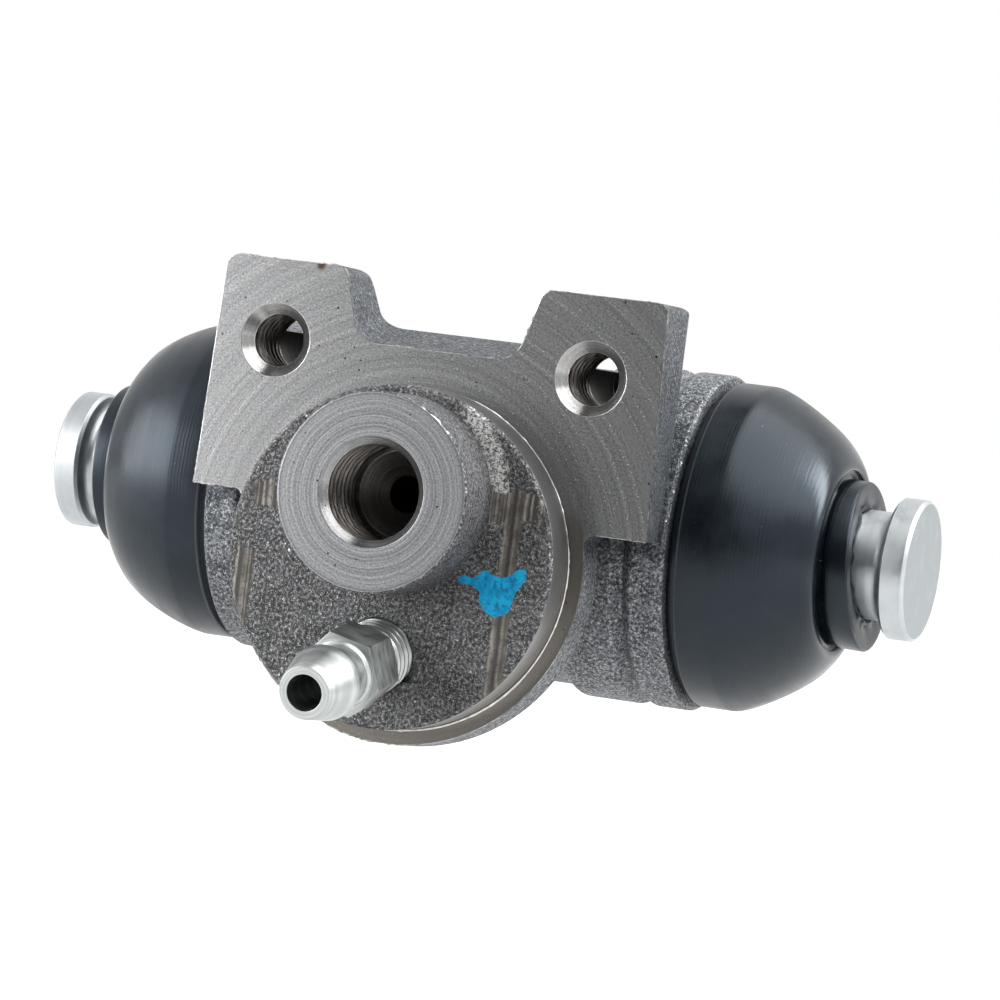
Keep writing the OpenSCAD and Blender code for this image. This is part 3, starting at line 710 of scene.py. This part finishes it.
bodyFinishes = ["castIron", "castLugPaintedShade", "castBossPaintedShade", "castSpigotFace", "turnedFace", "turnedBoss",
                "portChamfer", "turnedSpigot", "cutThread", "countersink", "boredPassage", "shadedDrilledPocket"]
spigotSize = mounts["spigot"]["dims"]
portSize = mounts["pipe_port"]["dims"]
holeSize = mounts["mounting_holes"]["dims"]
portThread = {"radius": portSize["r_mm"] * mm, "pitch": 1.0 * mm, "depth": 0.5 * mm, "hand": 1,
              "perTurn": 12, "segments": 72, "runOut": 0.5}
holeThread = {"radius": holeSize["hole_r_mm"] * mm, "pitch": 1.0 * mm, "depth": 0.45 * mm, "hand": 1,
              "perTurn": 12, "segments": 56, "runOut": 0.5, "from": 0.0, "to": 6.5 * mm}
spigotRadius = spigotSize["r_mm"] * mm
spigotLevel = -(spigotSize["length_mm"] + 0.3) * mm         # the edge of the spigot is broken by 0.3 mm
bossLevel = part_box("cylinder_body")[0].y
holeReach = holeSize["spacing_x_mm"] * mm / 2
holeLevel = mounts["mounting_holes"]["pos_m"][2]
finishReach = {     # mm that tell one finish of the casting from the next
    "sinkWide": 1.2, "sinkDeep": 1.1, "holeDeep": 15.0,
    "chamferWide": 0.8, "chamferDeep": 0.75, "passageDeep": 8.0, "bossWall": 3.0,
    "rimWide": 0.35, "neckFrom": 23.4, "lugDeep": 9.5, "lugFrom": 3.0,
}


def fromHoles(point):
    return min(math.hypot(point.x - side * holeReach, point.z - holeLevel) for side in (-1, 1))


def bodyFinish(face):
    c, n = face.calc_center_median(), face.normal
    reach = {key: value * mm for key, value in finishReach.items()}
    fromPort = math.hypot(c.x - portPlace[0], c.z - portPlace[2])
    holeEdge = fromHoles(c) - holeThread["radius"]
    portEdge = fromPort - portThread["radius"]
    flatFront = n.y < -0.999
    near = 0.02 * mm
    if flatFront and abs(c.y) < near:
        return "turnedFace"
    if flatFront and c.y < bossLevel + near:
        return "turnedBoss"
    if flatFront and abs(c.y - spigotLevel) < near:
        return "castSpigotFace"
    if holeEdge < reach["sinkWide"] and -near < c.y < reach["sinkDeep"] and abs(n.y) < 0.95:
        return "countersink"
    # painted shade: drilled walls in the holes take the near-black finish
    if holeEdge < 2.5 * near and c.y < reach["holeDeep"]:
        return "shadedDrilledPocket"
    if portEdge < reach["chamferWide"] and c.y < 0 and fromPort > portThread["radius"] / 2:
        return "portChamfer" if c.y < bossLevel + reach["chamferDeep"] else "boredPassage"
    if portEdge < 0 and c.y < reach["passageDeep"] and abs(n.y) < 0.9:
        return "boredPassage"
    # painted shade: the boss side takes the darker cast finish
    if portEdge > reach["bossWall"] and c.y < spigotLevel - near:
        return "castBossPaintedShade"
    if abs(math.hypot(c.x, c.z) - spigotRadius) < reach["rimWide"] and spigotLevel - near < c.y < near:
        return "turnedSpigot" if abs(n.y) < 0.3 else "castSpigotFace"
    if abs(c.x) > reach["neckFrom"]:
        return "turnedSpigot"
    # painted shade: the lugs take the darker cast finish
    return "castLugPaintedShade" if near < c.y < reach["lugDeep"] and c.z > reach["lugFrom"] else "castIron"


def makeBody():
    bm = weldedCopy("cylinder_body")
    bm.normal_update()
    for face in bm.faces:
        face.material_index = bodyFinishes.index(bodyFinish(face))
    threads = bodyFinishes.index("cutThread")
    half = portSize["length_mm"] * mm / 2
    inward = Vector((0, 1, 0))
    cutThread(bm, Vector(portPlace), inward, {**portThread, "from": -half, "to": half}, threads)
    holeY = mounts["mounting_holes"]["pos_m"][1]
    for side in (-1, 1):
        cutThread(bm, Vector((side * holeReach, holeY, holeLevel)), inward, holeThread, threads)
    edges = flangeEdges(bm)
    piece = newPiece("cast_body", bm, bodyFinishes)
    smoothBy(piece, 28)
    splitFinishes(piece)
    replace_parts(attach(piece, "casting"), "cylinder_body")
    return piece, edges


def flangeEdges(bm):
    # outer edges of the mounting face, each with the way out of the face
    face, found = bodyFinishes.index("turnedFace"), []
    for edge in bm.edges:
        if len(edge.link_faces) != 2 or any(abs(v.co.y) > 0.02 * mm for v in edge.verts):
            continue
        other = [f for f in edge.link_faces if f.material_index != face]
        if len(other) != 1:
            continue
        a, b = (v.co.copy() for v in edge.verts)
        mid = (a + b) / 2
        if math.hypot(mid.x, mid.z) < spigotRadius + 0.8 * mm:
            continue
        if fromHoles(mid) < 4 * mm:
            continue
        out = Vector((other[0].normal.x, 0, other[0].normal.z)).normalized()
        found.append((a, b, out))
    return found


castBody, faceEdges = makeBody()
print("casting made:", len(castBody.data.polygons), "faces,", len(faceEdges), "edges of the mounting face")


# ragged burrs left on the mounting face and round the foot of the spigot

burrShape = {       # mm and degrees
    "step": 0.18, "height": 0.14, "root": 0.05, "skirt": 0.08,
    "ringRadius": 16.06, "ringStep": 0.4, "ringHeight": 0.10, "ringFoot": 0.13,
    "tornFrom": 42, "tornTo": 66, "tornRadius": 9.12, "tornHeight": 0.24,
}


def burrHeight(point, height):
    fine = noise.noise(Vector(point) / mm * 2.6)
    patch = noise.noise(Vector(point) / mm * 0.21 + Vector((5.0, 0.0, 2.0)))
    return height * max(0.03, 0.1 + 0.8 * fine + 0.9 * patch) * mm


def addStrip(bm, sections, finish=0):
    rows = [[bm.verts.new(p) for p in section] for section in sections]
    for face in [bm.faces.new(rows[0]), bm.faces.new(rows[-1])] + skinRings(bm, rows):
        face.material_index = finish


def makeBurrs(edges):
    bm = bmesh.new()
    down = Vector((0, 1, 0))
    for a, b, out in edges:
        steps = max(1, math.ceil((b - a).length / mm / burrShape["step"]))
        sections = []
        for i in range(steps + 1):
            p = a.lerp(b, i / steps)
            rise = burrHeight(p, burrShape["height"])
            root = p - out * burrShape["root"] * mm - down * 0.01 * mm
            skirt = p + out * 0.01 * mm + down * burrShape["skirt"] * mm
            sections.append((root, p + out * rise - down * 0.15 * rise, skirt))
        addStrip(bm, sections)
    count = int(2 * math.pi * burrShape["ringRadius"] / burrShape["ringStep"])
    sections = []
    for i in range(count):
        angle = 2.2 + 2 * math.pi * i / count
        out = Vector((math.cos(angle), 0, math.sin(angle)))
        p = out * burrShape["ringRadius"] * mm
        rise = burrHeight(p, burrShape["ringHeight"])
        rise += burrShape["ringFoot"] * mm * max(0.0, -math.sin(angle - 0.25))      # heavier at the bottom
        foot = p + out * (0.03 * mm + rise) + down * 0.02 * mm
        sections.append((p - out * 0.08 * mm + down * 0.02 * mm, p - down * rise, foot))
    # the ring takes the lighter burr finish, a painted highlight
    addStrip(bm, sections, 1)
    # a torn sliver on the rim of the pipe boss
    sections = []
    for angle in range(burrShape["tornFrom"], burrShape["tornTo"] + 1):
        out = Vector((math.cos(math.radians(angle)), 0, math.sin(math.radians(angle))))
        p = Vector((portPlace[0], bossLevel, portPlace[2])) + out * burrShape["tornRadius"] * mm
        rise = burrShape["tornHeight"] * mm * max(0.08, 0.45 + 1.1 * noise.noise(p / mm * 1.7))
        root = p - out * 0.12 * mm + down * 0.02 * mm
        sections.append((root, p - down * 0.5 * rise, p + out * 0.6 * rise + down * 0.06 * mm))
    addStrip(bm, sections)
    bmesh.ops.recalc_face_normals(bm, faces=bm.faces)
    piece = newPiece("face_burrs", bm, ["rawBurr", "footBurrPaintedHighlight"])
    smoothBy(piece, 40, weighted=False)
    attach(piece, "casting")
    return piece


faceBurrs = makeBurrs(faceEdges)
print("burrs made:", len(faceBurrs.data.polygons), "faces")


# the bleed screw, with its thread

screwThread = {"radius": 3.45 * mm, "pitch": 1.0 * mm, "depth": -0.5 * mm, "hand": 1,
               "perTurn": 12, "segments": 72, "runOut": 0.6, "from": -8.7 * mm, "to": 3.2 * mm}


def makeBleedScrew():
    bm = weldedCopy("bleed_screw")
    bm.normal_update()
    cutThread(bm, bleedPoint, bleedAxis, screwThread, 0)
    piece = newPiece("plated_bleed_screw", bm, ["zincPlate"])
    smoothBy(piece, 16, weighted=False)
    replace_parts(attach(piece, "bleeder"), "bleed_screw")
    return piece


bleedScrew = makeBleedScrew()
print("bleed screw made:", len(bleedScrew.data.polygons), "faces")


# the boots

bootShape = {
    "segments": 176,
    "lipFrom": 35.2,        # mm along the bore from where the lip follows the stem
    "tilt": {"right": 0.75, "left": -0.2},
    "push": {"right": 0.65, "left": 1.05},
    "drop": {"right": 0.25, "left": 0.1},
    "dome": {"right": (-0.1, 11.4), "left": (0.3, 13.2)},   # crest shift, radius the dome bends round
    "wave": 0.22,
    "torn": 0.4,            # how ragged the lip edge on the stem is
    "open": 0.7,            # how much wider the fold is on the front than on the back
    "blend": (28.0, 35.0),
}


def arcPoints(centre, radius, start, stop, steps):
    angles = [math.radians(start + (stop - start) * i / steps) for i in range(steps + 1)]
    return [(centre[0] + radius * math.cos(a), centre[1] + radius * math.sin(a)) for a in angles]


def cubicPoints(p0, p1, p2, p3, steps):
    found = []
    for i in range(steps + 1):
        t = i / steps
        u = 1 - t
        w = (u ** 3, 3 * u * u * t, 3 * u * t * t, t ** 3)
        found.append(tuple(sum(k * p[a] for k, p in zip(w, (p0, p1, p2, p3))) for a in (0, 1)))
    return found


def bootProfile(key):
    # section of the boot in mm: distance along the bore, then radius
    low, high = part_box("boot_right")
    rim, lip = low.x / mm, high.x / mm
    outer = (high.z - low.z) / 2 / mm
    shift, bend = bootShape["dome"][key]
    fold, crest = lip - 3.2, lip - 1.7 + shift
    points = [(rim, 13.6), (rim, outer - 0.9)]
    points += arcPoints((rim + 0.2, outer - 0.9), 0.2, 180, 90, 3)
    points += [(rim + 0.8, outer - 0.7)]
    points += arcPoints((rim + 1.05, outer - 0.25), 0.25, 180, 90, 5)
    points += [(rim + 2.2, outer), (rim + 3.95, outer)]
    points += cubicPoints((rim + 4.2, outer - 0.02), (rim + 5.9, outer - 0.25),
                          (crest, bend), (crest, 9.45), 22)
    points += arcPoints((crest - 0.25, 9.2), 0.25, 0, -80, 4)
    points += cubicPoints((crest - 0.9, 8.85), (fold + 0.1, 8.6), (fold - 0.05, 8.2), (fold + 0.75, 7.75), 8)
    points += arcPoints((fold + 1.35, 7.75), 0.3, 180, 90, 4)
    points += arcPoints((lip - 0.25, 7.8), 0.25, 90, 0, 4)
    points += [(lip - 0.02, 7.0), (lip - 0.1, 6.2)]
    points += arcPoints((lip - 0.35, 5.55), 0.25, 60, -90, 5)
    points += [(fold - 1.0, 5.3)]
    points += cubicPoints((fold - 1.4, 6.0), (fold - 1.4, 10.5), (rim + 4.5, 14.25), (rim + 3.3, 14.25), 14)
    points += [(rim + 2.6, 14.1), (rim + 2.6, 13.55), (rim + 0.3, 13.55)]
    return points, crest


def makeBoot(side):
    key = "right" if side > 0 else "left"
    profile, crest = bootProfile(key)
    count, rings = bootShape["segments"], []
    bm = bmesh.new()
    for j in range(count):
        angle = 2 * math.pi * j / count
        up, out = math.sin(angle), math.cos(angle)
        ripple = noise.noise(Vector((out * 1.7, up * 1.7, side * 4.0)))
        ragged = noise.noise(Vector((out * 3.7, up * 3.7, side * 2.0)))
        shut = abs(up) ** 3
        lobe = noise.noise(Vector((out * 0.8, up * 0.8, side * 9.0)))
        ring = []
        for x, r in profile:
            onLip = min(1.0, max(0.0, (x - bootShape["lipFrom"]) / 1.2)) * (r < 8.6)
            onDome = math.sin(math.pi * min(1.0, max(0.0, (x - 26.0) / 10.4)))
            lean = bootShape["push"][key] - bootShape["tilt"][key] * up * r / 8.0
            x2 = x + onLip * (lean + bootShape["wave"] * ripple * (8.6 - r) / 3.0)
            if r < 5.95 and onLip > 0.9:
                x2 += bootShape["torn"] * (ragged + 0.25)
            if 7.6 < r < 9.2 and x < crest - 0.2:            # the fold closes towards the top and the bottom
                x2 += (crest - 0.4 - x) * shut * 0.8
            atCrest = math.exp(-((x - crest) / 1.2) ** 2) * (8.5 < r < 12.5)
            r2 = r + 0.18 * lobe * onDome + (0.06 * ripple if r < 6 else 0.0) * onLip
            r2 += atCrest * bootShape["open"] * (max(0.0, -out) ** 2 - 0.45)
            loose = min(1.0, max(0.0, (r - 5.4) / 1.2))
            z = boreAxis[1] + (r2 * up - onLip * loose * bootShape["drop"][key]) * mm
            ring.append(bm.verts.new((side * x2 * mm, boreAxis[0] + r2 * out * mm, z)))
        rings.append(ring)
    for j in range(count):
        a, b = rings[j], rings[(j + 1) % count]
        for i in range(len(profile)):
            k = (i + 1) % len(profile)
            bm.faces.new((a[i], a[k], b[k], b[i]) if side > 0 else (a[i], b[i], b[k], a[k]))
    bmesh.ops.recalc_face_normals(bm, faces=bm.faces)
    piece = newPiece("rubber_boot_" + key, bm, ["bootRubber"])
    smoothBy(piece, 50, weighted=False)
    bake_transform(piece)
    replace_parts(piece, "boot_" + key)
    return piece


boots = [makeBoot(side) for side in (-1, 1)]
print("boots made:", [len(b.data.polygons) for b in boots])


# the return spring in two halves, one on each side of the middle of the bore

springShape = {"mean": 5.3, "wire": 0.55, "turns": 7, "perTurn": 36, "sides": 10}


def makeHalfSpring(side):
    key = "right" if side > 0 else "left"
    low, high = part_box("return_spring")
    half = high.x / mm - springShape["wire"]
    rings, sides = int(springShape["turns"] / 2 * springShape["perTurn"]), springShape["sides"]
    bm = bmesh.new()
    loops = []
    for i in range(rings + 1):
        share = i / rings
        turn = 2 * math.pi * springShape["turns"] / 2 * share
        x = half * share
        ring = []
        for j in range(sides):
            a = 2 * math.pi * j / sides
            r = springShape["mean"] + springShape["wire"] * math.cos(a)
            y, z = boreAxis[0] + r * math.cos(turn) * mm, boreAxis[1] + side * r * math.sin(turn) * mm
            ring.append(bm.verts.new((side * (x + springShape["wire"] * math.sin(a)) * mm, y, z)))
        loops.append(ring)
    skinRings(bm, loops)
    bm.faces.new(loops[0])
    bm.faces.new(loops[-1])
    bmesh.ops.recalc_face_normals(bm, faces=bm.faces)
    piece = newPiece("spring_half_" + key, bm, ["springWire"])
    smoothBy(piece, 50, weighted=False)
    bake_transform(piece)
    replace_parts(piece, "return_spring")
    return piece


springHalves = [makeHalfSpring(side) for side in (-1, 1)]


# a daub of marking paint on the spigot face

daubShape = {
    "centre": (11.0, -1.6),     # x and z on the face, mm
    "outline": [(6.8, -1.2), (7.3, -0.6), (8.4, -0.8), (9.6, 0.1), (10.5, -0.3), (11.9, -0.2),
                (12.8, 0.5), (13.6, 0.6), (13.7, -0.4), (13.1, -1.3), (12.7, -2.3), (12.5, -3.4),
                (11.5, -4.1), (10.3, -4.0), (9.5, -3.2), (9.2, -2.1), (8.6, -1.6), (7.5, -1.4)],
    "steps": 5,
    "thick": 0.07,
    "rings": 7,
}


def makeDaub():
    face = spigotLevel / mm
    ends = daubShape["outline"]
    count, outline = len(ends), []
    for i in range(count):                                   # smooth closed curve through the points
        p = [Vector(ends[(i + k - 1) % count]) for k in range(4)]
        for step in range(daubShape["steps"]):
            t = step / daubShape["steps"]
            a = 2 * p[1] + (p[2] - p[0]) * t
            b = (2 * p[0] - 5 * p[1] + 4 * p[2] - p[3]) * t * t
            c = (3 * p[1] - p[0] - 3 * p[2] + p[3]) * t ** 3
            outline.append((a + b + c) / 2)
    centre = Vector(daubShape["centre"])
    bm = bmesh.new()
    loops = []
    for ringIndex in range(daubShape["rings"] + 1):
        share = 1 - 0.97 * ringIndex / daubShape["rings"]
        loop = []
        for i, p in enumerate(outline):
            ragged = 0.09 * noise.noise(Vector((p.x * 2.2, p.y * 2.2, 3.0)))
            q = centre + (p - centre) * share * (1 + ragged)
            swell = math.sqrt(1 - share * share) if share < 1 else 0.0
            ripple = 0.35 * noise.noise(Vector((q.x * 1.3, q.y * 1.3, 7.0)))
            depth = face + 0.01 - daubShape["thick"] * swell * (1 + ripple)
            loop.append(bm.verts.new((q.x * mm, depth * mm, q.y * mm)))
        loops.append(loop)
    skinRings(bm, loops)
    bm.faces.new(loops[-1])
    bm.faces.new(loops[0])
    bmesh.ops.recalc_face_normals(bm, faces=bm.faces)
    piece = newPiece("paint_daub", bm, ["markingPaint"])
    smoothBy(piece, 60, weighted=False)
    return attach(piece, "casting")


paintDaub = makeDaub()
print("spring and paint made")


# finishes of the nodes that stay as they are

nodeFinishes = {
    "piston_left": "pistonSteel", "piston_right": "pistonSteel",
    "cup_seal_left": "cupRubber", "cup_seal_right": "cupRubber",
    "cup_expander_left": "pressedSteel", "cup_expander_right": "pressedSteel",
}
for nodeName, finishName in nodeFinishes.items():
    node = frame["nodes"][nodeName]
    node.data.materials.clear()
    node.data.materials.append(finishes[finishName])
print("finishes set on", len(nodeFinishes), "nodes")


# studio

cameraView = {      # degrees, mm, and a focal length in pixels of the picture
    "azimuth": 19.441, "elevation": 1.048, "roll": 7.275, "distance": 457.18,
    "target": (5.013, 10.0, 6.327), "focalPixels": 4813.08, "picture": 1000, "sensor": 36.0,
}


def makeCamera():
    a, e, turn = (math.radians(cameraView[k]) for k in ("azimuth", "elevation", "roll"))
    back = Vector((math.sin(a) * math.cos(e), -math.cos(a) * math.cos(e), math.sin(e)))
    right = Vector((math.cos(a), math.sin(a), 0))
    up = back.cross(right)
    rolledRight = right * math.cos(turn) + up * math.sin(turn)
    rolledUp = up * math.cos(turn) - right * math.sin(turn)
    data = bpy.data.cameras.new("photoCamera")
    data.sensor_width = cameraView["sensor"]
    data.lens = cameraView["focalPixels"] * cameraView["sensor"] / cameraView["picture"]
    data.clip_start, data.clip_end = 0.01, 20
    camera = bpy.data.objects.new("photoCamera", data)
    spot = (Vector(cameraView["target"]) + back * cameraView["distance"]) * mm
    turned = Matrix((rolledRight, rolledUp, back)).transposed().to_4x4()
    camera.matrix_world = Matrix.Translation(spot) @ turned
    bpy.context.scene.collection.objects.link(camera)
    bpy.context.scene.camera = camera


studio = {
    "ambient": 0.3,
    "floorLevel": -50.0,
    "floorSize": 6000.0,
    "floorColor": (0.5, 0.5, 0.5),
    "floorGlow": (0.55, 1.0),
    "glowFrom": (90.0, 450.0),
    "lamps": {      # place and aim in mm, size in mm, power in watts
        "leftBox": {"place": (-500, -300, 140), "aim": (0, 0, 5), "size": (540, 380), "power": 4.0},
        "topBox": {"place": (263, -28, 493), "aim": (0, 5, 5), "size": (700, 700), "power": 4.2},
        "rightBox": {"place": (480, 150, 330), "aim": (30, 20, 5), "size": (220, 300), "power": 2.0},
    },
    "cards": {      # dark cards that only reflections see
        "frontDark": {"place": (75, -220, 70), "aim": (75, 0, 70), "size": (365, 240)},
        "topDark": {"place": (-115, -60, 480), "aim": (-115, -60, 0), "size": (185, 700)},
    },
}


def aimed(obj, place, aim):
    obj.location = Vector(place) * mm
    obj.rotation_mode = "QUATERNION"
    obj.rotation_quaternion = (Vector(aim) - Vector(place)).to_track_quat("-Z", "Y")


def makeStudio():
    scene = bpy.context.scene
    scene.view_settings.view_transform = "Standard"
    world = bpy.data.worlds.new("whiteStudio")
    scene.world = world
    world.use_nodes = True
    tree = world.node_tree
    tree.nodes.clear()
    strength = remap(tree, seenDirectly(tree), 0.0, 1.0, studio["ambient"], 1.0, smooth=False)
    sky = put(tree, "Background", {"Color": (1, 1, 1, 1), "Strength": strength})
    end = put(tree, "OutputWorld")
    tree.links.new(sky.outputs[0], end.inputs["Surface"])
    for name, lamp in studio["lamps"].items():
        data = bpy.data.lights.new(name, "AREA")
        data.shape = "RECTANGLE"
        data.size, data.size_y = (v * mm for v in lamp["size"])
        data.energy = lamp["power"]
        light = bpy.data.objects.new(name, data)
        aimed(light, lamp["place"], lamp["aim"])
        scene.collection.objects.link(light)
        light.visible_camera = False
    makeFloor()
    for name, card in studio["cards"].items():
        makeCard(name, card)


def sheetMesh(name, width, depth):
    bm = bmesh.new()
    sides = ((-1, -1), (1, -1), (1, 1), (-1, 1))
    bm.faces.new([bm.verts.new((x * width / 2 * mm, y * depth / 2 * mm, 0)) for x, y in sides])
    mesh = bpy.data.meshes.new(name)
    bm.to_mesh(mesh)
    bm.free()
    sheet = bpy.data.objects.new(name, mesh)
    bpy.context.scene.collection.objects.link(sheet)
    return sheet


def makeFloor():
    floor = sheetMesh("floor", studio["floorSize"], studio["floorSize"])
    floor.location.z = studio["floorLevel"] * mm
    material = bpy.data.materials.new("paleFloor")
    material.use_nodes = True
    tree = material.node_tree
    shader = tree.nodes["Principled BSDF"]
    shader.inputs["Base Color"].default_value = (*studio["floorColor"], 1)
    shader.inputs["Roughness"].default_value = 0.9
    shader.inputs["Specular IOR Level"].default_value = 0.0
    shader.inputs["Emission Color"].default_value = (1, 1, 1, 1)
    place = put(tree, "TexCoord").outputs["Object"]
    away = measure(tree, "LENGTH", place)
    glow = remap(tree, away, studio["glowFrom"][0] * mm, studio["glowFrom"][1] * mm, *studio["floorGlow"])
    tree.links.new(times(tree, seenDirectly(tree), glow), shader.inputs["Emission Strength"])
    floor.data.materials.append(material)


def makeCard(name, card):
    sheet = sheetMesh(name, *card["size"])
    aimed(sheet, card["place"], card["aim"])
    sheet.visible_camera = False
    sheet.visible_diffuse = False
    sheet.visible_shadow = False
    material = bpy.data.materials.new(name)
    material.use_nodes = True
    shader = material.node_tree.nodes["Principled BSDF"]
    shader.inputs["Base Color"].default_value = (0.02, 0.02, 0.02, 1)
    shader.inputs["Roughness"].default_value = 0.9
    sheet.data.materials.append(material)


makeCamera()
makeStudio()
print("studio made")
